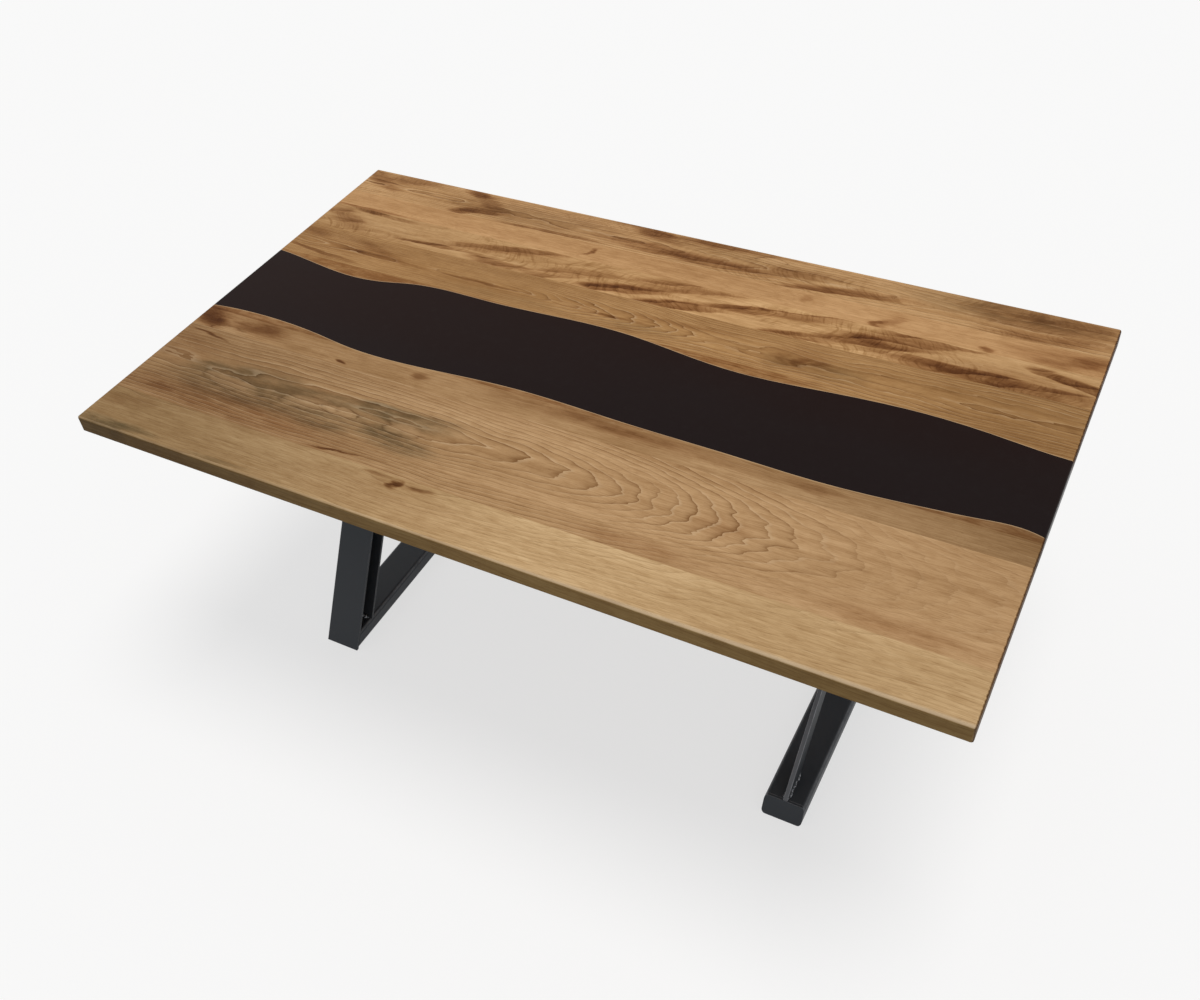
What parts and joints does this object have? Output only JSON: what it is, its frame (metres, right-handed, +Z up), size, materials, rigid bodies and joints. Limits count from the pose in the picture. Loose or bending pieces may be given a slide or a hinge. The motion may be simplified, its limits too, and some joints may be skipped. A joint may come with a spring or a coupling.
{
  "type": "dining table",
  "caption": "Rectangular dining table with a wavy dark resin river through a maple board top, on leaning welded steel legs with flat-bar braces.",
  "frame": {"origin": "on the floor, under the middle of the top", "axes": "+X along the length of the top, +Y across it towards the rear half, +Z up"},
  "size_m": [1.829, 1.067, 0.74],
  "materials": {
    "maple": "satin lacquer over stained maple",
    "resin": "satin, opaque near-black cast resin",
    "black_steel": "satin black powder coat",
    "fastener_steel": "zinc plated",
    "insert_brass": "plain"
  },
  "bodies": {
    "root": {"brace_left": "black_steel", "brace_right": "black_steel", "foot_cap_left": "black_steel", "foot_cap_right": "black_steel", "foot_tube_left": "black_steel", "foot_tube_right": "black_steel", "front_outer_board": "maple", "front_river_board": "maple", "front_second_board": "maple", "mount_bolts": "fastener_steel", "mount_plate_left": "black_steel", "mount_plate_right": "black_steel", "mount_washers": "fastener_steel", "post_front_plate_left": "black_steel", "post_front_plate_right": "black_steel", "post_rear_plate_left": "black_steel", "post_rear_plate_right": "black_steel", "post_web_left": "black_steel", "post_web_right": "black_steel", "rear_outer_board": "maple", "rear_river_board": "maple", "rear_second_board": "maple", "rear_third_board": "maple", "resin_river": "resin", "threaded_inserts": "insert_brass", "weld_beads_left": "black_steel", "weld_beads_right": "black_steel"}
  },
  "joints": []
}
